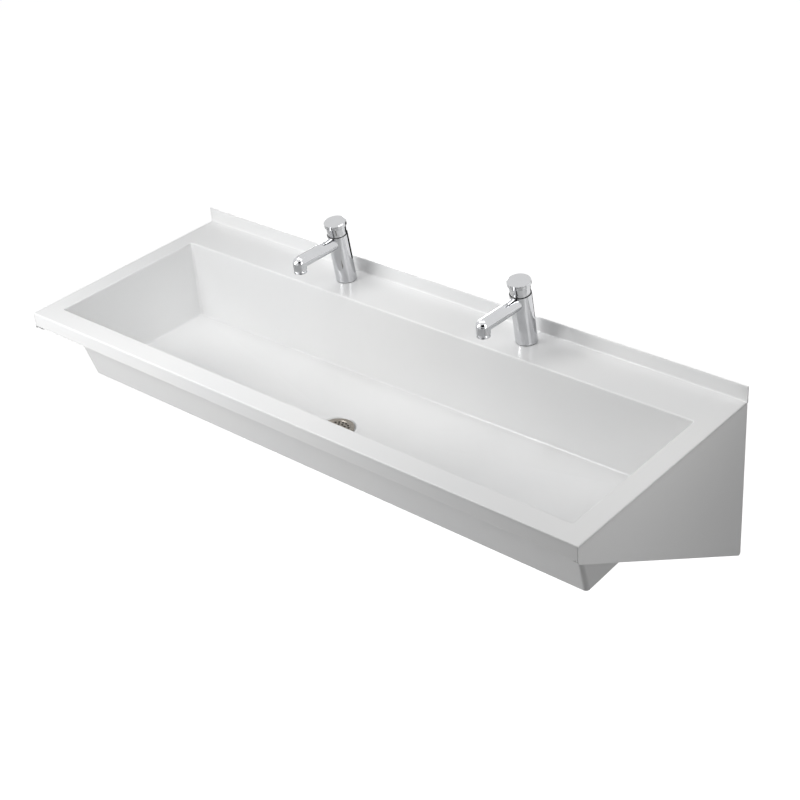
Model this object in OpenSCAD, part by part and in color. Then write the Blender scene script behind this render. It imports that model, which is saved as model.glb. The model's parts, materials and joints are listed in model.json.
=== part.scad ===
// Wall-hung trough sink in white coated steel sheet, with two self-closing push taps.
// Origin: middle of the wall plane at deck height. +X runs along the trough to the right
// as its user sees it, +Y points into the wall and +Z up. All sizes in millimetres.

/* [Trough] */
// Length of the trough over both end panels
trough_l = 1205; // [900:5:1500]
// Depth from the wall to the front lip
trough_d = 450; // [430:5:520]
// Thickness of the steel sheet
sheet_t = 1.5; // [1.2:0.1:2]
// Inside radius of the folds
bend_inner_r = 0.7; // [0.5:0.1:2]
// Height of the front lip
lip_h = 28; // [20:1:40]
// Width of the lip's inward return
lip_return_w = 14; // [8:1:20]
// Width of the deck in front of the bowl
front_rim_w = 40; // [34:1:60]
// Width of the deck at each end of the bowl
end_rim_w = 38.5; // [36:0.5:60]
// Width of the tap ledge behind the bowl
tap_ledge_w = 94; // [86:1:110]
// Height of the upstand above the deck
upstand_h = 28; // [24:1:60]
// Inside radius between the deck and the upstand
upstand_r = 3; // [2:0.5:6]
// How far the upstand's hem reaches below the deck, behind the fold
hem_drop = 2; // [1:0.5:3.5]

/* [Bowl] */
// Depth from the deck to the front edge of the floor
bowl_depth = 152; // [146:1:180]
// Lean of the front wall from upright, in degrees
front_lean = 14.8; // [5:0.1:20]
// Lean of the end walls from upright, in degrees
end_lean = 2; // [1:0.1:12]
// Lean of the back wall from upright, in degrees
back_lean = 2.3; // [1:0.1:10]
// Radius over which the deck rolls into the bowl
rim_r = 2.5; // [2:0.5:8]
// Radius between the walls and the floor
floor_r = 3.5; // [2:0.5:5]
// Plan radius of the bowl's corners at the deck
corner_top_r = 4; // [3:0.5:10]
// Plan radius of the bowl's corners at the floor
corner_floor_r = 6.5; // [6.5:0.5:15]
// Depth of the floor's back edge at the left end
back_left_depth = 154; // [148:0.5:158]
// Depth of the floor's back edge at the right end
back_right_depth = 142; // [138:0.5:152]
// Fall from the front edge of the floor to the waste
floor_fall = 4; // [1:0.5:8]
// Place of the waste along the trough from the middle, negative to the left
waste_x = -55; // [-200:5:200]
// Waste centre's distance from the wall
waste_setback = 250; // [220:5:270]

/* [End panels] */
// Depth of the end panels at the wall, below the deck
panel_h = 300; // [220:5:340]
// How far the panels reach below the lip at the front
panel_drop = 2.5; // [0:0.5:5]
// Rounding of the panel's lower corner at the wall
panel_corner_r = 6; // [3:1:15]
// Width of the panel's flange against the wall
wall_flange_w = 30; // [24:1:34]
// Width of the return along the panel's sloping edge
panel_return_w = 12; // [6:1:20]
// Diameter of the wall screw holes
screw_hole_d = 9; // [6:0.5:11]
// Distance from the deck to the upper screw holes
screw_top = 55; // [40:1:80]
// Distance between the upper and lower screw holes
screw_pitch = 200; // [100:5:240]
// Open seam between the lip's ends and the end panels
seam_gap = 0.5; // [0.3:0.1:1]

/* [Waste] */
// Diameter of the waste flange seen in the floor
waste_flange_d = 62; // [58:1:70]
// Outside diameter of the threaded waste tail
waste_tail_d = 41.91; // [40:0.01:44]
// Bore of the waste tail
waste_bore_d = 35; // [30:0.5:36]
// Length of the threaded waste tail
waste_tail_l = 42; // [30:1:60]
// Height of the waste's cup, between the bowl and the tail
waste_cup_h = 16; // [14:1:24]
// Thickness of the rubber seals
seal_t = 2; // [1:0.5:3]
// Diameter of the strainer's holes
strainer_hole_d = 4.5; // [4:0.5:5.5]

/* [Taps] */
// Distance between the two taps
tap_pitch = 410; // [300:5:520]
// Distance from the wall to the tap centres
tap_setback = 39; // [36:1:44]
// Forward lean of the tap body, in degrees
tap_lean = 7; // [0:0.5:8]
// Diameter of the tap body
tap_body_d = 38; // [38:0.5:42]
// Length of the tap body along its lean, from the deck to the button
tap_body_l = 97; // [94:1:110]
// Diameter of the spout
spout_d = 24; // [22:0.5:26]
// Drop from the body's front rim to the top of the spout
spout_drop = 0.8; // [0.4:0.2:8]
// Reach of the spout from the tap centre
spout_reach = 112; // [90:1:130]
// Diameter of the tap's threaded shank in the ledge
tap_shank_d = 24; // [23:0.5:26]
// Length of the tap's shank below the deck
tap_shank_l = 19; // [17:1:30]
// Outside diameter of the tap's threaded inlet tail
tap_tail_d = 20.955; // [20:0.005:22]
// Length of the tap's threaded inlet tail
tap_tail_l = 22; // [15:1:30]
// Thickness of the gasket under the tap
gasket_t = 1; // [0.5:0.5:2]

/* [Push button] */
// Travel of the push button
button_travel = 5; // [3:0.5:6]
// Height of the button above the tap body
button_h = 26; // [24:0.5:32]
// Diameter of the button's top collar
collar_d = 40.8; // [39:0.2:44]
// Height of the button's top collar
collar_h = 8.5; // [6:0.5:10]
// Diameter of the button where it slides into the body
skirt_d = 35; // [34:0.1:35.2]
// Radial clearance of sliding parts
slide_gap = 0.05; // [0.02:0.01:0.1]

/* [Hidden] */

$fn = 64;
eps = 0.01;
white = [0.93, 0.93, 0.93];
chrome = [0.75, 0.76, 0.78];
brass = [0.78, 0.65, 0.35];
steel = [0.62, 0.62, 0.63];
rubber = [0.12, 0.12, 0.12];
plastic = [0.35, 0.37, 0.4];
fibre = [0.55, 0.2, 0.12];

// trough
half_l = trough_l / 2;
hem_t = 2 * sheet_t;
bend_r = sheet_t + bend_inner_r;
end_fold_straight = 1;
end_fold_h = bend_r + end_fold_straight;
lip_end = half_l - sheet_t - seam_gap;
rim_x = half_l - end_rim_w;
rim_front = -trough_d + front_rim_w;
rim_back = -tap_ledge_w;
panel_front_h = lip_h + panel_drop;
panel_slope = atan((panel_h - panel_front_h) / trough_d);

// bowl skin: points on each fold and stations round each ring
rim_steps = 5;
floor_steps = 6;
corner_steps = 6;
fan_steps = 5;
fan_step = 15;
end_steps = 3;
corner_reach = 3 * corner_floor_r;
side_run = rim_x - bowl_depth * tan(end_lean) - corner_reach;
end_run = [
  rim_front + bowl_depth * tan(front_lean) + corner_reach,
  rim_back - bowl_depth * tan(back_lean) - corner_reach
];

// waste
strainer_t = 1.5;
seat_margin = 1;
seat_r = waste_flange_d / 2 + seat_margin;
seat_drop = seal_t + strainer_t;
seat_z = -(bowl_depth + floor_fall + seat_drop);
seat_slope = 3;
strainer_flange_w = 7;
strainer_dish_r = waste_flange_d / 2 - strainer_flange_w;
strainer_dish = 1.2;
strainer_rib = 0.9;
strainer_slack = 0.2;
flange_chamfer = 0.6;
cup_wall = 2.5;
dish_clearance = 1.5;
cup_r = strainer_dish_r + dish_clearance + cup_wall;
cup_flange_r = waste_flange_d / 2;
cup_flange_t = 3;
cup_cone_h = cup_r - waste_tail_d / 2;
hole_clearance = 0.5;
waste_hole_r = cup_r - cup_wall + hole_clearance;
seal_inset = 1;
relief_h = 2;
relief_cut = 0.9;
tail_top = -waste_cup_h - cup_cone_h - relief_h;
bridge_drop = 3;
bridge_w = 8;
bridge_t = 5;
strainer_screw_d = 5;
screw_head_r = 4.5;
screw_head_h = 1.5;
thread_gap = 0.05;

// taps
ledge_plate = [120, 54, 3];
tap_hole_clearance = 0.6;
tap_hole_r = tap_shank_d / 2 + tap_hole_clearance;
under_ledge = sheet_t + ledge_plate[2];
inlet_depth = tap_shank_l + relief_h + tap_tail_l;
fibre_washer_t = 2;
tap_nut_af = 32;
tap_nut_h = 8;
washer_overhang = 2;
fibre_washer_r = tap_nut_af / 2 + washer_overhang;
washer_clearance = 0.3;
gasket_inset = 0.5;
tap_body_r = tap_body_d / 2;
barrel_start = 10;
spout_r = spout_d / 2;
spout_z = tap_body_l * cos(tap_lean) - tap_body_r * sin(tap_lean) - spout_drop - spout_r;
nose_drop = 0.6;
nose_bottom = spout_z - spout_r - nose_drop;
aerator_h = 6;
aerator_inset = 0.4;
aerator_r = spout_r - aerator_inset;
nose_wall = 2.5;
aerator_thread_r = spout_r - nose_wall;
aerator_thread_h = 6;
aerator_clearance = 0.5;
aerator_wall = 1.5;
aerator_bore_r = aerator_thread_r - aerator_wall;
water_r = 4;
water_cover = 12.7;
water_z = spout_z + spout_r - water_cover - water_r;
tail_bore_r = 6;
bore_overlap = 3;

// tap head, measured along the leaning axis from the deck
skirt_depth = 2;
socket_clearance = 0.5;
socket_depth = skirt_depth + button_travel + socket_clearance;
socket_bottom = tap_body_l - socket_depth;
chamber_r = 13;
chamber_bottom = 42;
cartridge_wall = 3.5;
head_nut_flange = 3.5;
head_nut_thread = 4;
head_nut_r = 14.2;
nut_clearance = 0.5;
spindle_r = 4;
piston_clearance = 0.8;
piston_r = chamber_r - cartridge_wall - piston_clearance;
piston_h = 4;
piston_rest = 18;
skirt_r = skirt_d / 2;
skirt_wall = 1.8;
button_roof = 2.5;
button_boss_r = 6.5;
button_boss_h = 11;
collar_round = 1.4;
o_ring_wire = 1.5;
groove_slack = 0.2;
groove_h = o_ring_wire + groove_slack;
groove_foot = 6;
groove_margin = 0.6;
gallery_foot = 16;
gallery_margin = 0.4;
cartridge_top = socket_bottom - head_nut_thread;
groove_z = [chamber_bottom + groove_foot, cartridge_top - groove_h - groove_margin];
gallery_z = [chamber_bottom + gallery_foot, groove_z[1] - gallery_margin];
spring_wire = 1.3;
spring_r = 9.4;
spring_turns = 6;
spring_sides = 6;
spring_steps = 12;

// ---------- helpers ----------

// 2D x becomes Y, 2D y becomes Z, extruded along X from x0 to x1
module along_x(x0, x1) {
  translate([x0, 0, 0])
    rotate([90, 0, 90])
      linear_extrude(x1 - x0)
        children();
}

// 2D x stays X, 2D y becomes Z, extruded along Y from y0 to y1
module along_y(y0, y1) {
  translate([0, y1, 0])
    rotate([90, 0, 0])
      linear_extrude(y1 - y0)
        children();
}

// What lies outside a rounding of radius r at a corner; sx and sy point into the material
module off_corner(p, r, sx, sy) {
  difference() {
    translate([p[0] + (sx < 0 ? -r : -eps), p[1] + (sy < 0 ? -r : -eps)])
      square(r + eps);
    translate([p[0] + sx * r, p[1] + sy * r])
      circle(r);
  }
}

// A quarter of a fold: sx and sy give the quadrant seen from the centre
module fold(centre, r_in, r_out, sx, sy) {
  translate(centre)
    intersection() {
      difference() {
        circle(r_out);
        circle(r_in);
      }
      translate([sx < 0 ? -r_out : 0, sy < 0 ? -r_out : 0])
        square(r_out);
    }
}

module ring(r_out, r_in, h) {
  difference() {
    cylinder(r = r_out, h = h);
    translate([0, 0, -eps])
      cylinder(r = r_in, h = h + 2 * eps);
  }
}

module hex_nut(af, r_in, h) {
  difference() {
    cylinder(d = af / cos(30), h = h, $fn = 6);
    translate([0, 0, -eps])
      cylinder(r = r_in, h = h + 2 * eps);
  }
}

// ---------- trough ----------

// Front section of the deck and lip as a solid block, drawn inset from the outside
module deck_section(inset) {
  r = bend_r - inset;
  back = -hem_t - upstand_r;
  difference() {
    translate([-trough_d + inset, -lip_h + inset])
      square([trough_d - inset + back + (inset > 0 ? 1 : 0), lip_h - 2 * inset]);
    off_corner([-trough_d + inset, -inset], r, 1, -1);
    off_corner([-trough_d + inset, -lip_h + inset], r, 1, 1);
  }
}

module end_section(inset) {
  r = bend_r - inset;
  x = half_l - inset;
  difference() {
    translate([-x, -lip_h - 1])
      square([2 * x, lip_h + 1 - inset]);
    off_corner([x, -inset], r, -1, -1);
    off_corner([-x, -inset], r, 1, -1);
  }
}

module deck_block(inset) {
  intersection() {
    along_x(-half_l, half_l)
      deck_section(inset);
    along_y(-trough_d, 1)
      end_section(inset);
  }
}

module deck_tray() {
  difference() {
    deck_block(0);
    deck_block(sheet_t);
    // the lip's return stops short of the bowl
    translate([-half_l, -trough_d + lip_return_w, -lip_h - 1])
      cube([trough_l, trough_d, lip_h + 1 - sheet_t - bend_r]);
    // the ends fold down only as far as the panels' top edges
    for (side = [-1, 1])
      translate([side < 0 ? -half_l - 1 : lip_end, -trough_d - 1, -lip_h - 1])
        cube([half_l + 1 - lip_end, trough_d + 2, lip_h + 1 - end_fold_h]);
    // the opening that the bowl is welded into
    translate([0, 0, -sheet_t - 1])
      linear_extrude(sheet_t + 2)
        bowl_opening();
  }
}

// Upstand with its fold from the deck and a closed hem along the top
module upstand_section() {
  fold([-hem_t - upstand_r, upstand_r], upstand_r, upstand_r + sheet_t, 1, -1);
  translate([-hem_t, upstand_r])
    square([sheet_t, upstand_h - upstand_r - sheet_t]);
  translate([-sheet_t, -hem_drop])
    square([sheet_t, upstand_h - sheet_t + hem_drop]);
  fold([-sheet_t, upstand_h - sheet_t], 0, sheet_t, 1, 1);
  fold([-sheet_t, upstand_h - sheet_t], 0, sheet_t, -1, 1);
}

// Start of the roll from the deck into the bowl, behind the sharp rim line
function roll_back(lean) = rim_r * tan((90 - lean) / 2);

// Section through one wall, as [inset, z] from the sharp rim line, for a skin face that
// lies off the wetted face by off: the roll at the rim and then the radius at the floor
function wall_section(lean, depth, off) =
  let(
    top = [-roll_back(lean), -rim_r],
    foot_z = -depth + floor_r * (1 - sin(lean)),
    foot = [-foot_z * tan(lean) + floor_r * cos(lean), -depth + floor_r]
  )
  concat(
    [for (i = [0 : rim_steps])
      let(a = 90 - (90 - lean) * i / rim_steps)
      top + (rim_r - off) * [cos(a), sin(a)]],
    [for (i = [0 : floor_steps])
      let(a = 180 + lean + (90 - lean) * i / floor_steps)
      foot + (floor_r + off) * [cos(a), sin(a)]]
  );

// Inset of the corner's centre: one value along the roll, another along the floor radius
function corner_centre(lean, k) =
  k <= rim_steps
    ? wall_section(lean, bowl_depth, 0)[rim_steps][0] + corner_top_r
    : wall_section(lean, bowl_depth, 0)[rim_steps + 1][0] + corner_floor_r;

function mix(a, b, w) = a * (1 - w) + b * w;

// Depth of the floor's back edge, which climbs evenly from the left end to the right end
function back_depth(x) =
  mix(back_left_depth, back_right_depth, min(max((x / side_run + 1) / 2, 0), 1));

// One corner of a ring, turning 90 degrees from angle a0, on the side given by sx and sy;
// long_lean is the lean of the front or back wall that meets the end wall there
function corner_points(k, sx, sy, a0, long_lean, depth, off) =
  let(
    e = wall_section(end_lean, depth, off)[k],
    f = wall_section(long_lean, depth, off)[k],
    ce = corner_centre(end_lean, k),
    cf = corner_centre(long_lean, k),
    rim_y = sy < 0 ? rim_front : rim_back,
    centre = [sx * (rim_x - ce), rim_y - sy * cf],
    radii = [ce - e[0], cf - f[0]],
    starts_on_end = sx * sy > 0
  )
  [for (i = [0 : corner_steps])
    let(a = a0 + 90 * i / corner_steps, w = i / corner_steps)
    [
      centre[0] + radii[0] * cos(a),
      centre[1] + radii[1] * sin(a),
      starts_on_end ? mix(e[1], f[1], w) : mix(f[1], e[1], w)
    ]];

// Place of the i-th point on a long side, fanned out from the waste so that its ring is even
function fan_x(i) =
  waste_x + (side_run - sign(i) * waste_x) * tan(i * fan_step) / tan(fan_steps * fan_step);

// Points along the front of a ring, from left to right
function front_points(k, off) =
  let(p = wall_section(front_lean, bowl_depth, off)[k])
  [for (i = [-fan_steps : fan_steps])
    [fan_x(i), rim_front + p[0], p[1]]];

// Points along the back of a ring, from right to left
function back_points(k, off) =
  [for (i = [fan_steps : -1 : -fan_steps])
    let(p = wall_section(back_lean, back_depth(fan_x(i)), off)[k])
    [fan_x(i), rim_back - p[0], p[1]]];

// Points along the right end of a ring, from the front to the back
function right_points(k, off) =
  [for (i = [1 : end_steps - 1])
    let(
      w = i / end_steps,
      p = wall_section(end_lean, mix(bowl_depth, back_right_depth, w), off)[k]
    )
    [rim_x - p[0], mix(end_run[0], end_run[1], w), p[1]]];

// Points along the left end of a ring, from the back to the front
function left_points(k, off) =
  [for (i = [1 : end_steps - 1])
    let(
      w = i / end_steps,
      p = wall_section(end_lean, mix(back_left_depth, bowl_depth, w), off)[k]
    )
    [p[0] - rim_x, mix(end_run[1], end_run[0], w), p[1]]];

// A whole ring, anticlockwise seen from above, starting on the left end
function bowl_ring(k, off) = concat(
  corner_points(k, -1, -1, 180, front_lean, bowl_depth, off),
  front_points(k, off),
  corner_points(k, 1, -1, 270, front_lean, bowl_depth, off),
  right_points(k, off),
  corner_points(k, 1, 1, 0, back_lean, back_right_depth, off),
  back_points(k, off),
  corner_points(k, -1, 1, 90, back_lean, back_left_depth, off),
  left_points(k, off)
);

// A ring round the waste whose points look towards those of the floor's edge
function waste_ring(edge, r, z) =
  [for (p = edge)
    let(a = atan2(p[1] + waste_setback, p[0] - waste_x))
    [waste_x + r * cos(a), -waste_setback + r * sin(a), z]];

// Mean of a ring's points
function middle(ring) = [for (p = ring) 1 / len(ring)] * ring;

// Closed solid through a list of rings with equal counts, from the top ring down. Each end
// is a fan of triangles round its middle, since three points on one line make no triangle.
module loft(rings) {
  n = len(rings[0]);
  low = (len(rings) - 1) * n;
  top_middle = low + n;
  low_middle = low + n + 1;
  points = concat([for (r = rings) each r], [middle(rings[0]), middle(rings[len(rings) - 1])]);
  faces = [
    for (i = [0 : n - 1])
      let(j = (i + 1) % n)
      each concat(
        [[j, i, top_middle], [low + i, low + j, low_middle]],
        [for (k = [0 : n : low - n])
          each [
            [k + i, k + j, k + n + i],
            [k + j, k + n + j, k + n + i]
          ]]
      )
  ];
  polyhedron(points = points, faces = faces);
}

// The bowl's wetted face (off = 0) or its underside (off = sheet_t) as a closed solid
module bowl_solid(off, cover) {
  last = rim_steps + floor_steps + 1;
  edge = bowl_ring(last, off);
  brim = [for (p = bowl_ring(0, 0)) [p[0], p[1], cover]];
  loft(concat(
    [brim],
    [for (k = [0 : last]) bowl_ring(k, off)],
    [
      waste_ring(edge, seat_r + seat_slope, seat_z + seat_drop - off),
      waste_ring(edge, seat_r + (off > 0 ? off / 2 : 0), seat_z - off)
    ]
  ));
}

module bowl_opening() {
  polygon([for (p = bowl_ring(0, 0)) [p[0], p[1]]]);
}

module bowl_shell() {
  difference() {
    bowl_solid(sheet_t, 0);
    bowl_solid(0, 1);
  }
}

module tap_places() {
  for (side = [-1, 1])
    translate([side * tap_pitch / 2, -tap_setback, 0])
      children();
}

module waste_place() {
  translate([waste_x, -waste_setback, seat_z])
    children();
}

module trough_body() {
  color(white)
    difference() {
      union() {
        deck_tray();
        bowl_shell();
        along_x(-half_l, half_l)
          upstand_section();
      }
      tap_places()
        translate([0, 0, -sheet_t - 1])
          cylinder(r = tap_hole_r, h = sheet_t + 2);
      waste_place()
        translate([0, 0, -sheet_t - 1])
          cylinder(r = waste_hole_r, h = sheet_t + 2);
    }
}

// ---------- end panels ----------

// Side outline of a panel: straight sloping lower edge, rounded corner at the wall
module panel_outline() {
  difference() {
    polygon([
      [-trough_d, -end_fold_h],
      [-trough_d, -panel_front_h],
      [0, -panel_h],
      [0, -end_fold_h]
    ]);
    panel_corner_cut();
  }
}

// What lies outside the rounding between the wall plane and the sloping edge
module panel_corner_cut() {
  centre = [
    -panel_corner_r,
    -panel_h + panel_corner_r * (tan(panel_slope) + 1 / cos(panel_slope))
  ];
  outward = [-sin(panel_slope), -cos(panel_slope)];
  difference() {
    polygon([
      [0, centre[1]],
      [1, centre[1]],
      [1, -panel_h - 1],
      centre + (panel_corner_r + 1) * outward,
      centre + panel_corner_r * outward
    ]);
    translate(centre)
      circle(panel_corner_r);
  }
}

// Plan of the folded panel: the leaf, its fold at the wall and the wall flange
module panel_plan() {
  translate([half_l - sheet_t, -trough_d])
    square([sheet_t, trough_d - bend_r]);
  fold([half_l - bend_r, -bend_r], bend_r - sheet_t, bend_r, 1, 1);
  translate([half_l - wall_flange_w, -sheet_t])
    square([wall_flange_w - bend_r, sheet_t]);
}

// Return folded inwards along the sloping edge
module sloping_return() {
  up = sheet_t / cos(panel_slope);
  difference() {
    intersection() {
      panel_outline();
      translate([-trough_d + bend_r, -panel_h])
        square([trough_d - bend_r - sheet_t, panel_h]);
    }
    polygon([
      [-trough_d, -panel_front_h + up],
      [0, -panel_h + up],
      [0, 0],
      [-trough_d, 0]
    ]);
  }
}

module right_hand_panel() {
  difference() {
    union() {
      intersection() {
        translate([0, 0, -panel_h - 1])
          linear_extrude(panel_h)
            panel_plan();
        along_x(half_l - wall_flange_w - 1, half_l + 1)
          panel_outline();
      }
      along_x(half_l - panel_return_w, half_l - sheet_t)
        sloping_return();
    }
    for (z = [-screw_top, -screw_top - screw_pitch])
      translate([half_l - wall_flange_w / 2 - sheet_t / 2, 1, z])
        rotate([90, 0, 0])
          cylinder(d = screw_hole_d, h = sheet_t + 2);
  }
}

module left_end_panel() {
  color(white)
    mirror([1, 0, 0])
      right_hand_panel();
}

module right_end_panel() {
  color(white)
    right_hand_panel();
}

// Doubler plates that stiffen the ledge round each tap hole
module ledge_plates() {
  color(steel)
    tap_places()
      translate([0, 0, -under_ledge])
        difference() {
          translate([-ledge_plate[0] / 2, -ledge_plate[1] / 2, 0])
            cube(ledge_plate);
          translate([0, 0, -eps])
            cylinder(r = tap_hole_r, h = ledge_plate[2] + 2 * eps);
        }
}

// ---------- waste ----------

// Cup and tail as half sections, from the flange under the seat down to the outlet
module waste_outside() {
  polygon([
    [0, 0],
    [cup_flange_r, 0],
    [cup_flange_r, -cup_flange_t],
    [cup_r, -cup_flange_t],
    [cup_r, -waste_cup_h],
    [waste_tail_d / 2, -waste_cup_h - cup_cone_h],
    [waste_tail_d / 2 - relief_cut, -waste_cup_h - cup_cone_h],
    [waste_tail_d / 2 - relief_cut, tail_top],
    [waste_tail_d / 2, tail_top],
    [waste_tail_d / 2, tail_top - waste_tail_l],
    [0, tail_top - waste_tail_l]
  ]);
}

module waste_inside() {
  polygon([
    [0, 1],
    [cup_r - cup_wall, 1],
    [cup_r - cup_wall, -waste_cup_h + cup_wall],
    [waste_bore_d / 2, -waste_cup_h - cup_cone_h + cup_wall],
    [waste_bore_d / 2, tail_top - waste_tail_l - 1],
    [0, tail_top - waste_tail_l - 1]
  ]);
}

// Cup clamped under the seat, with a bridge for the strainer screw and the threaded tail
module waste_body() {
  color(chrome)
    waste_place()
      translate([0, 0, -sheet_t - seal_t])
        difference() {
          rotate_extrude()
            waste_outside();
          difference() {
            rotate_extrude()
              waste_inside();
            translate([-cup_r, -bridge_w / 2, -bridge_drop - bridge_t])
              cube([2 * cup_r, bridge_w, bridge_t]);
          }
          translate([0, 0, -bridge_drop - bridge_t - 1])
            cylinder(d = strainer_screw_d, h = bridge_t + 2);
        }
}

// Flanged strainer plate, dished inside the flange
module waste_strainer() {
  first_r = screw_head_r + strainer_hole_d / 2 + strainer_rib;
  pitch = strainer_hole_d + 2 * strainer_rib;
  last = floor((strainer_dish_r - strainer_dish - strainer_hole_d / 2 - first_r) / pitch);
  color(steel)
    waste_place()
      translate([0, 0, seal_t])
        difference() {
          rotate_extrude()
            polygon([
              [strainer_screw_d / 2 + strainer_slack, -strainer_dish],
              [strainer_dish_r - strainer_dish, -strainer_dish],
              [strainer_dish_r, 0],
              [waste_flange_d / 2, 0],
              [waste_flange_d / 2, strainer_t - flange_chamfer],
              [waste_flange_d / 2 - flange_chamfer, strainer_t],
              [strainer_dish_r, strainer_t],
              [strainer_dish_r - strainer_dish, strainer_t - strainer_dish],
              [strainer_screw_d / 2 + strainer_slack, strainer_t - strainer_dish]
            ]);
          for (i = [0 : last])
            for (j = [1 : 6 * (i + 1)])
              rotate(60 * j / (i + 1))
                translate([first_r + i * pitch, 0, -strainer_dish - 1])
                  cylinder(d = strainer_hole_d, h = strainer_t + 2, $fn = 24);
        }
}

module strainer_screw() {
  head_z = seal_t + strainer_t - strainer_dish;
  shank = head_z + sheet_t + seal_t + bridge_drop + bridge_t + 1;
  slot_w = 1.2;
  slot_h = 0.8;
  color(steel)
    waste_place()
      translate([0, 0, head_z])
        difference() {
          union() {
            cylinder(r1 = screw_head_r, r2 = screw_head_r - slot_h, h = screw_head_h);
            translate([0, 0, -shank])
              cylinder(d = strainer_screw_d, h = shank + eps);
          }
          translate([-screw_head_r - 1, -slot_w / 2, screw_head_h - slot_h])
            cube([2 * screw_head_r + 2, slot_w, slot_h + 1]);
        }
}

module waste_upper_seal() {
  color(rubber)
    waste_place()
      ring(waste_flange_d / 2 - seal_inset, waste_hole_r + hole_clearance, seal_t);
}

module waste_lower_seal() {
  color(rubber)
    waste_place()
      translate([0, 0, -sheet_t - seal_t])
        ring(cup_flange_r, waste_hole_r + hole_clearance, seal_t);
}

// ---------- taps ----------

module at_tap(side) {
  translate([side * tap_pitch / 2, -tap_setback, 0])
    children();
}

// The tap's own leaning axis, from the deck
module leaning(s = 0) {
  rotate([tap_lean, 0, 0])
    translate([0, 0, s])
      children();
}

module tap_body_solid() {
  // barrel, cut flat on its gasket
  intersection() {
    leaning(-barrel_start)
      cylinder(r = tap_body_r, h = tap_body_l + barrel_start);
    translate([-tap_body_d, -tap_body_d, gasket_t])
      cube([2 * tap_body_d, 2 * tap_body_d, 2 * tap_body_l]);
  }
  // spout with a ball elbow and a short nose
  translate([0, -tap_body_r / 2, spout_z])
    rotate([90, 0, 0])
      cylinder(r = spout_r, h = spout_reach - tap_body_r / 2);
  translate([0, -spout_reach, spout_z])
    sphere(spout_r);
  translate([0, -spout_reach, nose_bottom])
    cylinder(r = spout_r, h = spout_z - nose_bottom);
  // threaded shank through the ledge, thread relief and inlet tail
  translate([0, 0, -tap_shank_l])
    cylinder(d = tap_shank_d, h = tap_shank_l + gasket_t + 1);
  translate([0, 0, -tap_shank_l - relief_h])
    cylinder(r = tap_tail_d / 2 - relief_cut, h = relief_h + 1);
  translate([0, 0, -inlet_depth])
    cylinder(d = tap_tail_d, h = tap_tail_l);
}

module tap_body_bores() {
  leaning(socket_bottom)
    cylinder(r = skirt_r + slide_gap, h = socket_depth + 1);
  leaning(chamber_bottom)
    cylinder(r = chamber_r, h = socket_bottom - chamber_bottom + 1);
  translate([0, 0, -inlet_depth - 1])
    cylinder(r = tail_bore_r, h = inlet_depth + 1 + chamber_bottom + bore_overlap);
  translate([0, -chamber_r, water_z])
    rotate([90, 0, 0])
      cylinder(r = water_r, h = spout_reach - chamber_r);
  translate([0, -spout_reach, nose_bottom - 1])
    cylinder(r = aerator_thread_r + slide_gap, h = aerator_thread_h + 1 + aerator_clearance);
  translate([0, -spout_reach, nose_bottom])
    cylinder(r = water_r, h = water_z - nose_bottom);
}

module tap_body() {
  color(chrome)
    difference() {
      tap_body_solid();
      tap_body_bores();
    }
}

// Turned push button: sliding skirt, flared neck, rounded collar and a boss inside
module push_button() {
  neck_flare = 1.1;
  collar_edge = 0.8;
  dome_h = 0.2;
  neck_shoulder = 1;
  neck_r = skirt_r + neck_flare;
  collar_r = collar_d / 2;
  neck_top = button_h - collar_h;
  color(chrome)
    leaning(tap_body_l)
      difference() {
        rotate_extrude()
          difference() {
            polygon([
              [0, -skirt_depth],
              [skirt_r, -skirt_depth],
              [skirt_r, button_travel + collar_edge],
              [neck_r, neck_top - neck_shoulder],
              [collar_r - collar_edge, neck_top],
              [collar_r, neck_top + collar_edge],
              [collar_r, button_h - collar_round],
              [collar_r - collar_round, button_h - dome_h],
              [0, button_h]
            ]);
            translate([button_boss_r, -skirt_depth - 1])
              square([skirt_r - skirt_wall - button_boss_r, skirt_depth + 1 + button_h - button_roof]);
            translate([0, -skirt_depth - 1])
              square([
                button_boss_r + eps,
                skirt_depth + 1 + button_h - button_roof - button_boss_h
              ]);
          }
        translate([0, 0, button_h - button_roof - button_boss_h - 1])
          cylinder(r = spindle_r, h = button_boss_h);
      }
}

// Spindle from the button's boss down to its piston in the cartridge
module spindle() {
  seat_gap = 1;
  top = tap_body_l + button_h - button_roof - seat_gap;
  piston_z = chamber_bottom + piston_rest;
  color(brass)
    leaning() {
      translate([0, 0, piston_z])
        cylinder(r = spindle_r, h = top - piston_z);
      translate([0, 0, piston_z])
        cylinder(r = piston_r, h = piston_h);
    }
}

// Sleeve with the piston's chamber, ports and the gallery that leads to the spout
module cartridge() {
  inner_r = chamber_r - cartridge_wall;
  foot = 4;
  port_r = 2.5;
  port_margin = 1;
  color(plastic)
    leaning()
      difference() {
        translate([0, 0, chamber_bottom])
          cylinder(r = chamber_r - slide_gap, h = cartridge_top - chamber_bottom);
        translate([0, 0, chamber_bottom + foot])
          cylinder(r = inner_r, h = cartridge_top - chamber_bottom - foot - cartridge_wall);
        translate([0, 0, cartridge_top - cartridge_wall - 1])
          cylinder(r = spindle_r + slide_gap, h = cartridge_wall + 2);
        translate([0, 0, chamber_bottom - 1])
          cylinder(r = spindle_r, h = foot + 2);
        translate([0, 0, gallery_z[0]])
          ring(chamber_r + 1, chamber_r - o_ring_wire, gallery_z[1] - gallery_z[0]);
        for (a = [0 : 90 : 270])
          rotate([0, 0, a])
            translate([0, 0, gallery_z[0] + port_r + port_margin])
              rotate([90, 0, 0])
                cylinder(r = port_r, h = chamber_r + 1, $fn = 24);
        for (z = groove_z)
          translate([0, 0, z])
            ring(chamber_r + 1, chamber_r - o_ring_wire, groove_h);
      }
}

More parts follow.
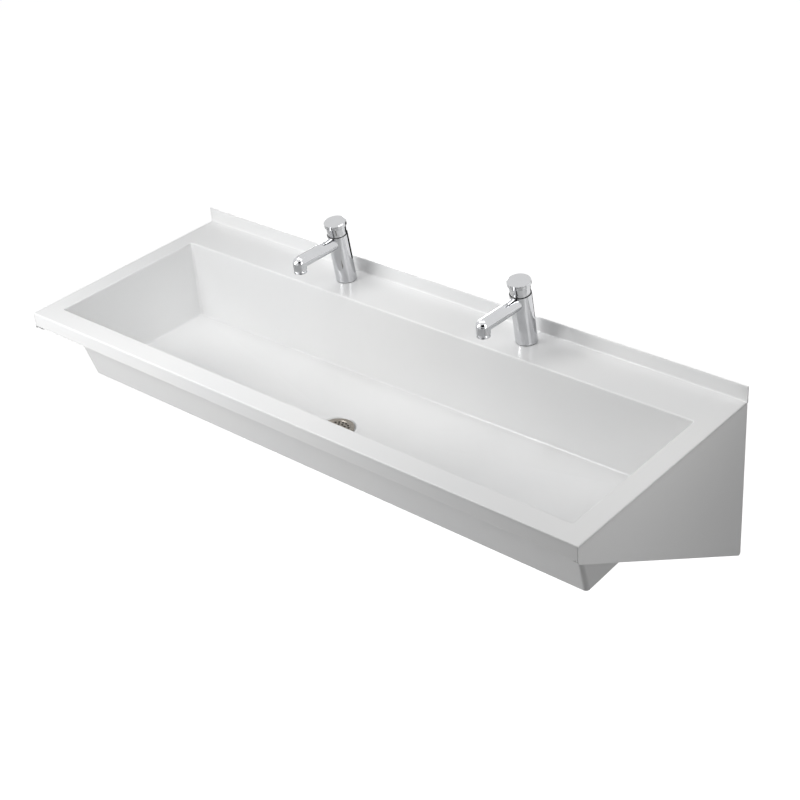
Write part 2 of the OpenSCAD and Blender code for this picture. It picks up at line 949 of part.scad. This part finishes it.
module o_rings() {
  color(rubber)
    leaning()
      for (z = groove_z)
        translate([0, 0, z + groove_h / 2])
          rotate_extrude()
            translate([chamber_r - o_ring_wire / 2, 0])
              circle(d = o_ring_wire - 2 * slide_gap, $fn = 24);
}

module cartridge_nut() {
  color(brass)
    leaning(socket_bottom - head_nut_thread)
      difference() {
        union() {
          cylinder(r = chamber_r - slide_gap, h = head_nut_thread + eps);
          translate([0, 0, head_nut_thread])
            cylinder(r = head_nut_r, h = head_nut_flange);
        }
        translate([0, 0, -eps])
          cylinder(r = spindle_r + nut_clearance, h = head_nut_thread + head_nut_flange + 1);
      }
}

// Coil from the cartridge nut to the button's roof, as one tube swept along a helix
module return_spring() {
  low = socket_bottom + head_nut_flange + spring_wire / 2;
  high = tap_body_l + button_h - button_roof - spring_wire / 2;
  n = spring_turns * spring_steps;
  ring_points = function(i)
    let(
      a = 360 * i / spring_steps,
      z = low + (high - low) * i / n
    )
    [for (j = [0 : spring_sides - 1])
      let(
        b = 360 * j / spring_sides,
        r = spring_r + spring_wire / 2 * cos(b)
      )
      [r * cos(a), r * sin(a), z + spring_wire / 2 * sin(b)]];
  color(steel)
    leaning()
      loft([for (i = [n : -1 : 0]) ring_points(i)]);
}

module aerator_ring() {
  color(chrome)
    translate([0, -spout_reach, nose_bottom - aerator_h])
      difference() {
        union() {
          cylinder(r = aerator_r, h = aerator_h);
          translate([0, 0, aerator_h - eps])
            cylinder(r = aerator_thread_r, h = aerator_thread_h);
        }
        translate([0, 0, -eps])
          cylinder(r = aerator_bore_r, h = aerator_h + aerator_thread_h + 1);
      }
}

module aerator_insert() {
  jet_d = 1.4;
  jet_pitch = 2.6;
  insert_h = 4;
  insert_recess = 0.8;
  color(plastic)
    translate([0, -spout_reach, nose_bottom - aerator_h + insert_recess])
      difference() {
        cylinder(r = aerator_bore_r, h = insert_h);
        for (i = [0 : 2])
          for (a = [0 : i == 0 ? 360 : 60 / i : 359])
            rotate(a)
              translate([i * jet_pitch, 0, -1])
                cylinder(d = jet_d, h = insert_h + 2, $fn = 16);
      }
}

module gasket() {
  color(rubber)
    ring(tap_body_r - gasket_inset, tap_shank_d / 2 + washer_clearance, gasket_t);
}

module fibre_washer() {
  color(fibre)
    translate([0, 0, -under_ledge - fibre_washer_t])
      ring(fibre_washer_r, tap_shank_d / 2 + washer_clearance, fibre_washer_t);
}

module backnut() {
  color(brass)
    translate([0, 0, -under_ledge - fibre_washer_t - tap_nut_h])
      hex_nut(tap_nut_af, tap_shank_d / 2 + thread_gap, tap_nut_h);
}

// ---------- assembly ----------

trough_body();
left_end_panel();
right_end_panel();
ledge_plates();
waste_body();
waste_strainer();
strainer_screw();
waste_upper_seal();
waste_lower_seal();
at_tap(-1) tap_body();  // left_tap_body
at_tap(-1) push_button();  // left_push_button
at_tap(-1) spindle();  // left_spindle
at_tap(-1) return_spring();  // left_return_spring
at_tap(-1) cartridge();  // left_cartridge
at_tap(-1) cartridge_nut();  // left_cartridge_nut
at_tap(-1) o_rings();  // left_o_rings
at_tap(-1) aerator_ring();  // left_aerator_ring
at_tap(-1) aerator_insert();  // left_aerator_insert
at_tap(-1) gasket();  // left_gasket
at_tap(-1) fibre_washer();  // left_fibre_washer
at_tap(-1) backnut();  // left_backnut
at_tap(1) tap_body();  // right_tap_body
at_tap(1) push_button();  // right_push_button
at_tap(1) spindle();  // right_spindle
at_tap(1) return_spring();  // right_return_spring
at_tap(1) cartridge();  // right_cartridge
at_tap(1) cartridge_nut();  // right_cartridge_nut
at_tap(1) o_rings();  // right_o_rings
at_tap(1) aerator_ring();  // right_aerator_ring
at_tap(1) aerator_insert();  // right_aerator_insert
at_tap(1) gasket();  // right_gasket
at_tap(1) fibre_washer();  // right_fibre_washer
at_tap(1) backnut();  // right_backnut
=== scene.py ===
"""Looks of the wall-hung trough sink: white coated steel, chromed push taps, studio light."""
import json
import math
from functools import partial

import bpy
from mathutils import Matrix, Vector


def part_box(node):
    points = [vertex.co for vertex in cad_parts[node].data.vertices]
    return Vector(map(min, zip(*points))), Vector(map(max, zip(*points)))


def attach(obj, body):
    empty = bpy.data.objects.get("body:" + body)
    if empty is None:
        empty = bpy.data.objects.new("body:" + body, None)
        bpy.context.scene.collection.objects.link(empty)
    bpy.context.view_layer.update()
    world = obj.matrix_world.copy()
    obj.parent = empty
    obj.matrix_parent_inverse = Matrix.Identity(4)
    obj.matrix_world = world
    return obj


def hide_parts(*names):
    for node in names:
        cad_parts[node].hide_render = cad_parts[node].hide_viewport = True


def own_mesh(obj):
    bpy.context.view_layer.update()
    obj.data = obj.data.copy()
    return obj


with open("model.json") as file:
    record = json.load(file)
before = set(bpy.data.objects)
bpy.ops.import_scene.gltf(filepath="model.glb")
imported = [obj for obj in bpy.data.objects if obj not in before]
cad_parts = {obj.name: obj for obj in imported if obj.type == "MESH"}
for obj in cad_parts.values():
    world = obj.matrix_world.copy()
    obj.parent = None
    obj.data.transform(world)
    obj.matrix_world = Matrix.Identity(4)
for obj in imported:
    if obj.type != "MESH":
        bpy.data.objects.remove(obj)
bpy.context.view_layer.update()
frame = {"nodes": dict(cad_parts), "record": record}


def add_object(name, data):
    """A new object in the scene that holds this mesh, lamp or camera."""
    obj = bpy.data.objects.new(name, data)
    bpy.context.scene.collection.objects.link(obj)
    return obj


# ---------- camera: solved from the straight edges of the object ----------

CAMERA_AZIMUTH = 43.505
CAMERA_ELEVATION = 31.96
CAMERA_ROLL = -5.083
CAMERA_TARGET = Vector((0.0781, -0.225, -0.0648))
CAMERA_DISTANCE = 2.656
CAMERA_REACH = 50
CAMERA_LENS = 71.54
CAMERA_SENSOR = 36.0


def look_axes(azimuth, elevation, roll):
    """Right, up and back axes of a view, from angles in radians; azimuth 0 looks along +Y."""
    back = Vector((math.sin(azimuth) * math.cos(elevation),
                   -math.cos(azimuth) * math.cos(elevation),
                   math.sin(elevation)))
    right = (-back).cross(Vector((0, 0, 1))).normalized()
    up = right.cross(-back)
    return (math.cos(roll) * right + math.sin(roll) * up,
            -math.sin(roll) * right + math.cos(roll) * up,
            back)


def make_camera():
    data = bpy.data.cameras.new("camera")
    data.lens = CAMERA_LENS
    data.sensor_width = CAMERA_SENSOR
    data.clip_end = CAMERA_REACH
    camera = add_object("camera", data)
    axes = look_axes(*map(math.radians, (CAMERA_AZIMUTH, CAMERA_ELEVATION, CAMERA_ROLL)))
    stand = Matrix(axes).transposed().to_4x4()
    stand.translation = CAMERA_TARGET + axes[2] * CAMERA_DISTANCE
    camera.matrix_world = stand
    bpy.context.scene.camera = camera


# ---------- node helpers ----------

class Nodes:
    """The node tree of a material or world, with short ways to add and join nodes."""

    def __init__(self, owner, output="ShaderNodeOutputMaterial"):
        self.owner = owner
        owner.use_nodes = True
        self.tree = owner.node_tree
        self.tree.nodes.clear()
        self.output = self.tree.nodes.new(output)

    def add(self, kind, **values):
        """A new node. Each value is a setting of it or, with _ for a space, one of its inputs."""
        node = self.tree.nodes.new(kind)
        for key, value in values.items():
            if hasattr(node, key):
                setattr(node, key, value)
            else:
                node.inputs[key.replace("_", " ")].default_value = value
        return node

    def join(self, source, target):
        self.tree.links.new(source, target)

    def show(self, shader):
        """Makes this shader the surface."""
        self.join(shader.outputs[0], self.output.inputs["Surface"])

    def principled(self, **values):
        shader = self.add("ShaderNodeBsdfPrincipled", **values)
        self.show(shader)
        return shader

    def noise(self, scale, detail, rough=0.5, stretch=(1, 1, 1)):
        """Noise in the object's own metres; scale is features per metre, times stretch on each axis."""
        place = self.add("ShaderNodeTexCoord")
        mapping = self.add("ShaderNodeMapping", Scale=stretch)
        noise = self.add("ShaderNodeTexNoise", Scale=scale, Detail=detail, Roughness=rough)
        self.join(place.outputs["Object"], mapping.inputs["Vector"])
        self.join(mapping.outputs[0], noise.inputs["Vector"])
        return noise.outputs["Fac"]

    def ramp(self, source, low, high, from_low=0.3, from_high=0.7):
        """Maps a value to low..high as it goes from from_low to from_high, which here suit a noise."""
        node = self.add("ShaderNodeMapRange", From_Min=from_low, From_Max=from_high, To_Min=low, To_Max=high)
        self.join(source, node.inputs["Value"])
        return node.outputs[0]

    def combine(self, operation, first, second):
        node = self.add("ShaderNodeMath", operation=operation)
        self.join(first, node.inputs[0])
        self.join(second, node.inputs[1])
        return node.outputs[0]

    def colour(self, shader, source, dark, light):
        """Base colour between two colours by a noise."""
        node = self.add("ShaderNodeMix", data_type="RGBA", A=(*dark, 1), B=(*light, 1))
        self.join(self.ramp(source, 0, 1), node.inputs["Factor"])
        self.join(node.outputs["Result"], shader.inputs["Base Color"])

    def vary(self, shader, name, source, low, high):
        """One input of a shader between two values by a noise."""
        self.join(self.ramp(source, low, high), shader.inputs[name])

    def mask(self, shader, name, source, off, on):
        """One input of a shader from its value off a mask to its value on it."""
        self.join(self.ramp(source, off, on, 0, 1), shader.inputs[name])

    def bump(self, shader, source, distance, strength):
        node = self.add("ShaderNodeBump", Distance=distance, Strength=strength)
        self.join(source, node.inputs["Height"])
        self.join(node.outputs[0], shader.inputs["Normal"])

    def show_by_sight(self, unseen, seen):
        """One shader for the camera, reflections and clear materials to see, one for all other rays."""
        path = self.add("ShaderNodeLightPath")
        sight = path.outputs["Is Camera Ray"]
        for ray in ("Is Glossy Ray", "Is Transmission Ray"):
            sight = self.combine("MAXIMUM", sight, path.outputs[ray])
        mix = self.add("ShaderNodeMixShader")
        self.join(sight, mix.inputs["Fac"])
        self.join(unseen.outputs[0], mix.inputs[1])
        self.join(seen.outputs[0], mix.inputs[2])
        self.show(mix)


# ---------- materials ----------

# Heights in metres, from below the folded edges of the deck up to its plane:
# between the middle two the coating is thin, towards the outer two it gets full again
FOLD_FOOT = -0.0045
FOLD_LOW = -0.0028
FOLD_HIGH = -0.0004
FOLD_TOP = -0.0001


def white_coating():
    """Smooth white coating, a little thinner and duller where it runs over the folded edges."""
    nodes = Nodes(bpy.data.materials.new("white_coating"))
    shader = nodes.principled()
    nodes.colour(shader, nodes.noise(scale=2.2, detail=3), dark=(0.765, 0.77, 0.775), light=(0.8, 0.8, 0.795))
    place = nodes.add("ShaderNodeTexCoord")
    split = nodes.add("ShaderNodeSeparateXYZ")
    nodes.join(place.outputs["Object"], split.inputs[0])
    above_foot = nodes.ramp(split.outputs["Z"], 0, 1, FOLD_FOOT, FOLD_LOW)
    below_top = nodes.ramp(split.outputs["Z"], 1, 0, FOLD_HIGH, FOLD_TOP)
    edge = nodes.combine("MULTIPLY", above_foot, below_top)
    nodes.mask(shader, "Coat Weight", edge, off=0.35, on=0.03)
    nodes.mask(shader, "Specular IOR Level", edge, off=0.5, on=0.15)
    nodes.vary(shader, "Coat Roughness", nodes.noise(scale=90, detail=3), 0.14, 0.18)
    nodes.vary(shader, "Roughness", nodes.noise(scale=60, detail=4), 0.3, 0.38)
    nodes.bump(shader, nodes.noise(scale=420, detail=2), distance=0.00002, strength=0.5)
    return nodes.owner


def chrome(name, colour, rough):
    """Polished plating with faint marks of wiping, drawn out along its height."""
    nodes = Nodes(bpy.data.materials.new(name))
    shader = nodes.principled(Metallic=1.0)
    nodes.colour(shader, nodes.noise(scale=35, detail=3), dark=colour, light=[c * 1.05 for c in colour])
    marks = nodes.noise(scale=160, detail=4, stretch=(1, 1, 0.3))
    nodes.vary(shader, "Roughness", marks, rough * 0.7, rough * 1.4)
    nodes.bump(shader, nodes.noise(scale=90, detail=2), distance=0.00003, strength=0.3)
    return nodes.owner


def grained(name, colour, darkening, roughness, relief, grain, **values):
    """A surface whose one fine grain sets its colour, its roughness and its relief."""
    nodes = Nodes(bpy.data.materials.new(name))
    shader = nodes.principled(**values)
    fine = nodes.noise(rough=0.6, **grain)
    nodes.colour(shader, fine, dark=[c * darkening for c in colour], light=colour)
    nodes.vary(shader, "Roughness", fine, *roughness)
    nodes.bump(shader, fine, distance=relief, strength=0.4)
    return nodes.owner


def metal(name, colour, rough, stretch=(1, 1, 1)):
    """Bare metal with a fine grain."""
    grain = {"scale": 300, "detail": 6, "stretch": stretch}
    return grained(name, colour, 0.85, (rough * 0.8, rough * 1.25), 0.00005, grain, Metallic=1.0)


def plain(name, colour, rough):
    """Plastic, rubber or fibre with a fine grain."""
    grain = {"scale": 500, "detail": 5}
    return grained(name, colour, 0.8, (rough * 0.9, rough * 1.15), 0.00008, grain)


MATERIALS = {
    "white_coating": white_coating(),
    "tap_chrome": chrome("tap_chrome", (0.61, 0.615, 0.63), 0.06),
    "button_chrome": chrome("button_chrome", (0.59, 0.595, 0.605), 0.13),
    "waste_chrome": chrome("waste_chrome", (0.33, 0.32, 0.3), 0.2),
    "strainer_steel": metal("strainer_steel", (0.31, 0.285, 0.25), 0.32),
    "stainless": metal("stainless", (0.6, 0.6, 0.6), 0.35, (0.05, 1, 1)),
    "spring_steel": metal("spring_steel", (0.5, 0.5, 0.5), 0.3),
    "brass": metal("brass", (0.78, 0.6, 0.3), 0.3, (1, 1, 12)),
    "grey_plastic": plain("grey_plastic", (0.3, 0.31, 0.33), 0.5),
    "black_rubber": plain("black_rubber", (0.03, 0.03, 0.03), 0.75),
    "red_fibre": plain("red_fibre", (0.42, 0.11, 0.06), 0.85),
}


def dress_nodes():
    """Gives each solid the material that its record names."""
    slots = {s["node"]: s["material_slot"] for s in frame["record"]["subparts"]}
    for name, obj in frame["nodes"].items():
        obj.data.materials.clear()
        obj.data.materials.append(MATERIALS[slots[name]])


# ---------- pieces made here, in millimetres ----------

MM = 0.001
SIDES = {"left": -1, "right": 1}

# The taps: how far apart, how far from the wall, and how far they lean forward
TAP_PITCH = 410.0
TAP_SETBACK = 39.0
TAP_LEAN = math.radians(7.0)
# From a tap's place on the deck forward to the middle of its spout's nose
NOSE_FRONT = 112.0
# Along the leaning axis: top of the tap's body
BODY_TOP = 97.0

# Return spring, its heights along the leaning axis
SPRING_LOW = 93.0
SPRING_HIGH = 120.5
SPRING_TURNS = 6
SPRING_RADIUS = 9.4
SPRING_WIRE = 1.3
# Share of the first and of the last turn that closes up, and its rise in thicknesses of the wire
SPRING_CLOSED = 0.8
SPRING_CLOSED_RISE = 0.85

# Threads: outer radius, pitch, and how far the ridge stands out
WASTE_THREAD = (20.955, 2.309, 0.4)
INLET_THREAD = (10.4775, 1.814, 0.35)
SHANK_THREAD = (12.0, 1.5, 0.25)
# Heights between which they show; the waste's is counted from the lower end of its tail
WASTE_SPAN = (0.4, 41.6)
INLET_SPAN = (-42.8, -21.2)
SHANK_SPAN = (-19.0, -14.6)
# Share of a pitch that stays free at each end of a thread
THREAD_MARGIN = 0.45
# A ridge's half width at its root and at its crest, in pitches
RIDGE_ROOT = 0.36
RIDGE_CREST = 0.1
# How far below the shank's surface a ridge has its root, and its crest where it runs out
ROOT_DEPTH = 0.1
RUN_OUT_DEPTH = 0.05

# Wiper ring in the seam between button and body, partly a real rubber wiper and partly painted shade for the
# seam's gap: radii, and heights from the body's top
WIPER_SHADE_INNER = 17.56
WIPER_SHADE_OUTER = 18.7
WIPER_SHADE_FOOT = -0.3
WIPER_SHADE_TOP = 0.75

# Aerator: bore, thread in the nose, step under the nose, and the grip at its top and its widest
AERATOR_BORE = 8.0
AERATOR_THREAD = 9.5
AERATOR_STEP = 10.3
GRIP_TOP = 10.6
GRIP_WIDEST = 11.65
FLUTES = 48
FLUTE_DEPTH = 0.12


def along_lean(side, across, back, along):
    """A place measured along a tap's leaning axis from the deck, in the frame."""
    cos, sin = math.cos(TAP_LEAN), math.sin(TAP_LEAN)
    return (side * TAP_PITCH / 2 + across, -TAP_SETBACK + back * cos - along * sin, back * sin + along * cos)


def upright(x, y):
    """Places measured from a point of the deck, straight up."""
    return lambda across, back, along: (x + across, y + back, along)


def piece(name, verts, faces, slot, sharp=35.0):
    mesh = bpy.data.meshes.new(name)
    mesh.from_pydata([[c * MM for c in v] for v in verts], [], faces)
    mesh.validate()
    mesh.shade_smooth()
    mesh.set_sharp_from_angle(angle=math.radians(sharp))
    mesh.materials.append(MATERIALS[slot])
    obj = add_object(name, mesh)
    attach(obj, "trough")
    return obj


def lathe(profile, steps, place, flute=0.0, flutes=0):
    """Closed ring from (radius, height, share of the flute's depth) points."""
    verts, faces = [], []
    count = len(profile)
    for step in range(steps):
        angle = 2 * math.pi * step / steps
        cut = flute * (0.5 - 0.5 * math.cos(flutes * angle))
        for radius, height, share in profile:
            reach = radius - cut * share
            verts.append(place(reach * math.cos(angle), reach * math.sin(angle), height))
    for step in range(steps):
        here = step * count
        there = (step + 1) % steps * count
        for point in range(count):
            after = (point + 1) % count
            faces.append((here + point, there + point, there + after, here + after))
    return verts, faces


def swept(rings):
    """Closed tube through rings of places with equal counts."""
    count = len(rings[0])
    last = (len(rings) - 1) * count
    verts = [place for ring in rings for place in ring]
    faces = []
    for here in range(0, last, count):
        there = here + count
        for point in range(count):
            after = (point + 1) % count
            faces.append((here + point, here + after, there + after, there + point))
    faces.append(tuple(reversed(range(count))))
    faces.append(tuple(range(last, last + count)))
    return verts, faces


def coil(side):
    """Return spring of round wire whose first and last turns close up."""
    per_turn, wire_sides = 40, 10
    wire = SPRING_WIRE / 2
    steps = SPRING_TURNS * per_turn
    closed = SPRING_CLOSED * per_turn
    closed_rise = SPRING_CLOSED_RISE * SPRING_WIRE
    low = SPRING_LOW + wire
    high = SPRING_HIGH - wire
    open_rise = (high - low - 2 * closed_rise) / (steps - 2 * closed)
    rings = []
    for step in range(steps + 1):
        start = min(step, closed) * closed_rise / closed
        middle = max(0, min(step, steps - closed) - closed) * open_rise
        end = max(0, step - (steps - closed)) * closed_rise / closed
        angle = 2 * math.pi * step / per_turn
        height = low + start + middle + end
        ring = []
        for corner in range(wire_sides):
            turn = 2 * math.pi * corner / wire_sides
            reach = SPRING_RADIUS + wire * math.cos(turn)
            ring.append(along_lean(side, reach * math.cos(angle), reach * math.sin(angle),
                                   height + wire * math.sin(turn)))
        rings.append(ring)
    return swept(rings)


def thread(place, size, low, high):
    """A screw thread's ridge on a shank, running out at both ends."""
    radius, pitch, rise = size
    per_turn, run_out = 40, 12
    steps = int(((high - low) / pitch - 2 * THREAD_MARGIN) * per_turn)
    root = radius - ROOT_DEPTH
    rings = []
    for step in range(steps + 1):
        angle = 2 * math.pi * step / per_turn
        height = low + pitch * (THREAD_MARGIN + step / per_turn)
        crest = radius - RUN_OUT_DEPTH + rise * min(1, (step + 1) / run_out, (steps + 1 - step) / run_out)
        section = ((root, -RIDGE_ROOT), (crest, -RIDGE_CREST), (crest, RIDGE_CREST), (root, RIDGE_ROOT))
        rings.append([place(reach * math.cos(angle), reach * math.sin(angle), height + pitch * z)
                      for reach, z in section])
    return swept(rings)


def make_springs():
    """Round wire in place of the plainer solids; on the real tap it shortens as the button goes down."""
    for word, side in SIDES.items():
        spring = piece(f"{word}_spring_coil", *coil(side), "spring_steel", sharp=60)
        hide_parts(f"{word}_return_spring")
        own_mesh(spring)


def make_threads():
    """Ridges on the waste's tail and on each tap's shank and inlet tail."""
    low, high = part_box("waste_body")
    x, y = ((low[axis] + high[axis]) / 2 / MM for axis in (0, 1))
    foot, head = (low.z / MM + height for height in WASTE_SPAN)
    piece("waste_thread", *thread(upright(x, y), WASTE_THREAD, foot, head), "waste_chrome")
    for word, side in SIDES.items():
        place = upright(side * TAP_PITCH / 2, -TAP_SETBACK)
        piece(f"{word}_inlet_thread", *thread(place, INLET_THREAD, *INLET_SPAN), "tap_chrome")
        piece(f"{word}_shank_thread", *thread(place, SHANK_THREAD, *SHANK_SPAN), "tap_chrome")


def make_wipers_and_seam_shade():
    """Black rubber ring that wipes the button where it slides into the tap; its black is also painted shade
    for the gap in that seam.
    """
    foot, top = BODY_TOP + WIPER_SHADE_FOOT, BODY_TOP + WIPER_SHADE_TOP
    chamfer = 0.3
    profile = [(WIPER_SHADE_INNER, foot, 0), (WIPER_SHADE_OUTER, foot, 0),
               (WIPER_SHADE_OUTER, top - chamfer, 0), (WIPER_SHADE_OUTER - chamfer, top, 0),
               (WIPER_SHADE_INNER + 0.19, top, 0), (WIPER_SHADE_INNER, top - 0.25, 0)]
    for word, side in SIDES.items():
        # The ring's black stands partly for the shade in the seam between button and body
        piece(f"{word}_wiper_ring_and_seam_shade", *lathe(profile, 96, partial(along_lean, side)), "black_rubber")


def aerator_profile(low):
    """Outline of the aerator ring above its lower edge: up outside, down its bore."""
    lower_edge = [(AERATOR_BORE, low + 0.5, 0), (AERATOR_BORE + 0.5, low, 0),
                  (GRIP_WIDEST - 0.55, low, 0), (GRIP_WIDEST - 0.05, low + 0.4, 0)]
    grip = [(GRIP_WIDEST, low + 0.7, 1), (GRIP_TOP, low + 4.6, 1), (GRIP_TOP - 0.1, low + 4.8, 0)]
    step = [(AERATOR_STEP, low + 5.2, 0), (AERATOR_STEP, low + 6.0, 0)]
    tube = [(AERATOR_THREAD, low + 6.0, 0), (AERATOR_THREAD, low + 12.0, 0), (AERATOR_BORE, low + 12.0, 0)]
    return lower_edge + grip + step + tube


def make_aerators():
    """Aerator ring: tapered, fluted grip, chamfered lower edge and a step under the nose."""
    for word, side in SIDES.items():
        profile = aerator_profile(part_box(f"{word}_aerator_ring")[0].z / MM)
        place = upright(side * TAP_PITCH / 2, -TAP_SETBACK - NOSE_FRONT)
        shape = lathe(profile, 6 * FLUTES, place, FLUTE_DEPTH, FLUTES)
        ring = piece(f"{word}_aerator_collar", *shape, "tap_chrome")
        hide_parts(f"{word}_aerator_ring")


# ---------- studio ----------

WHITE = (1, 1, 1, 1)
AMBIENT = 0.09
FLOOR_Z = -0.85
FLOOR_SIZE = 14.0
FLOOR_PAINT = (0.8, 0.8, 0.8, 1)
FLOOR_GLOW = 0.93
# Colour of the floor for the light that it throws back on the object
FLOOR_BOUNCE = (0.15, 0.15, 0.15, 1)
BOARD_BLACK = (0.012, 0.012, 0.014, 1)

# What most lamps point at: the middle of the sink
SINK_MIDDLE = (0.0, -0.2, -0.05)

# name, place, point it looks at, size, power in watts, spread in degrees
LAMPS = [
    ("key", (-0.5, -1.2, 0.6), SINK_MIDDLE, 0.5, 10.5, 180),
    ("left_low", (-1.0, -1.1, 0.0), SINK_MIDDLE, 0.5, 3.0, 180),
    ("top_left", (-0.35, -0.15, 0.9), SINK_MIDDLE, 0.5, 3.4, 180),
    ("back_right", (0.2, 0.1, 0.9), SINK_MIDDLE, 0.5, 1.8, 180),
    ("right_fill", (0.9, -0.2, 0.5), SINK_MIDDLE, 0.3, 1.57, 180),
    ("low_right", (1.1, -0.5, -0.1), SINK_MIDDLE, 0.3, 0.4, 180),
    ("end_wall_spot", (0.55, -0.27, 0.12), (-0.58, -0.25, -0.05), 0.2, 0.07, 35),
    ("back_fill", (-1.2, 1.1, -0.15), (-0.1, -0.1, -0.1), 0.6, 1.5, 70),
]

# name, centre, size across and up; the boards stand upright and face the middle between the taps
BOARDS = [
    ("board_far_left", (-2.3, 2.2, 0.25), (1.6, 0.5)),
    ("board_behind", (-0.3, 1.0, -0.42), (0.9, 0.5)),
    ("board_front_high", (0.72, -0.9, 0.73), (1.1, 0.94)),
    ("board_front_low", (0.72, -0.9, -0.065), (1.1, 0.27)),
]
BOARDS_FACE = Vector((0, -0.05, 0))

SQUARE = ((-1, -1), (1, -1), (1, 1), (-1, 1))


def make_world():
    """White background over a dim light from all sides."""
    world = bpy.data.worlds.new("studio")
    bpy.context.scene.world = world
    nodes = Nodes(world, "ShaderNodeOutputWorld")
    light = nodes.add("ShaderNodeBackground", Color=WHITE, Strength=AMBIENT)
    background = nodes.add("ShaderNodeBackground", Color=WHITE, Strength=1.0)
    nodes.show_by_sight(light, background)


def flat_object(name, corners, material):
    mesh = bpy.data.meshes.new(name)
    mesh.from_pydata(corners, [], [(0, 1, 2, 3)])
    mesh.materials.append(material)
    return add_object(name, mesh)


def make_floor():
    """Pale floor at the height of a room's floor: white to the eye, darker only in shadow."""
    nodes = Nodes(bpy.data.materials.new("floor_paint"))
    paint = nodes.add("ShaderNodeBsdfDiffuse", Color=FLOOR_PAINT)
    glow = nodes.add("ShaderNodeEmission", Strength=FLOOR_GLOW)
    bright = nodes.add("ShaderNodeAddShader")
    nodes.join(paint.outputs[0], bright.inputs[0])
    nodes.join(glow.outputs[0], bright.inputs[1])
    bounce = nodes.add("ShaderNodeBsdfDiffuse", Color=FLOOR_BOUNCE)
    nodes.show_by_sight(bounce, bright)
    half = FLOOR_SIZE / 2
    floor = flat_object("floor", [(x * half, y * half, FLOOR_Z) for x, y in SQUARE], nodes.owner)


def make_boards():
    """Black boards that only reflections see; they give the chrome its dark lines."""
    nodes = Nodes(bpy.data.materials.new("board_black"))
    nodes.show(nodes.add("ShaderNodeBsdfDiffuse", Color=BOARD_BLACK))
    for name, centre, (across, up) in BOARDS:
        away = Vector(centre) - BOARDS_FACE
        away.z = 0
        side = away.normalized().cross(Vector((0, 0, 1)))
        corners = [Vector(centre) + side * x * across / 2 + Vector((0, 0, z * up / 2)) for x, z in SQUARE]
        board = flat_object(name, corners, nodes.owner)
        board.visible_camera = False
        board.visible_diffuse = False
        board.visible_transmission = False
        board.visible_shadow = False


def soft_light(name, place, target, size, power, spread):
    data = bpy.data.lights.new(name, "AREA")
    data.shape = "SQUARE"
    data.size = size
    data.energy = power
    data.spread = math.radians(spread)
    light = add_object(name, data)
    light.visible_camera = False
    light.location = place
    light.rotation_euler = (Vector(target) - Vector(place)).to_track_quat("-Z", "Y").to_euler()


def make_studio():
    make_world()
    make_floor()
    make_boards()
    for lamp in LAMPS:
        soft_light(*lamp)
    bpy.context.scene.view_settings.view_transform = "Standard"


make_camera()
dress_nodes()
make_springs()
make_threads()
make_wipers_and_seam_shade()
make_aerators()
make_studio()
